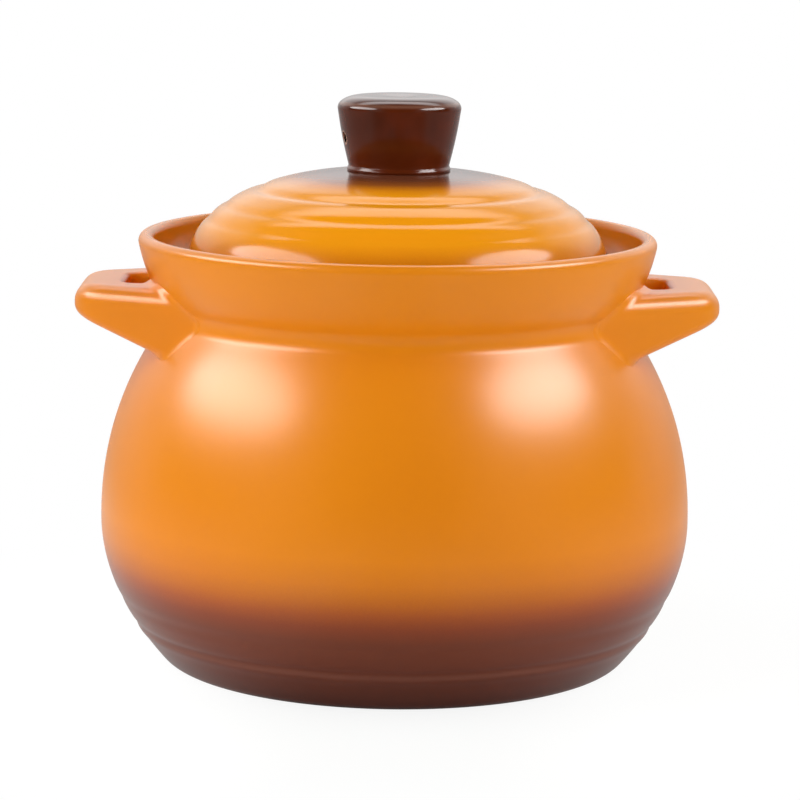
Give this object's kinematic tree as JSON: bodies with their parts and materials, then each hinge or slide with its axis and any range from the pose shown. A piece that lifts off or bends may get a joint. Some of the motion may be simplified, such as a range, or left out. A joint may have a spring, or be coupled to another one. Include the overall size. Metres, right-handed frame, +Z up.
{
  "type": "ceramic stew pot",
  "caption": "Round-bellied glazed ceramic stew pot with a flared rim, loop handles on the neck, and a domed lift-off lid with a hollow vented knob.",
  "frame": {"origin": "centre of the foot ring's resting face, on the pot's axis", "axes": "+Z up along the pot's axis, +X towards the right handle, -Y towards the picture's camera"},
  "size_m": [0.2484, 0.23, 0.221],
  "materials": {
    "pot_glaze": "satin orange glaze fading to dark brown at the foot",
    "lid_glaze": "gloss orange glaze, browner at the edge and round the knob",
    "knob_glaze": "gloss dark brown glaze"
  },
  "bodies": {
    "pot": {"pot_body": "pot_glaze", "right_handle": "pot_glaze", "left_handle": "pot_glaze"},
    "lid": {"lid_dome": "lid_glaze", "lid_knob": "knob_glaze"}
  },
  "joints": [
    {"name": "lid_lift", "type": "slide", "parent": "pot", "child": "lid", "axis": [0, 0, 1], "range_m": [0, 0.12]}
  ]
}
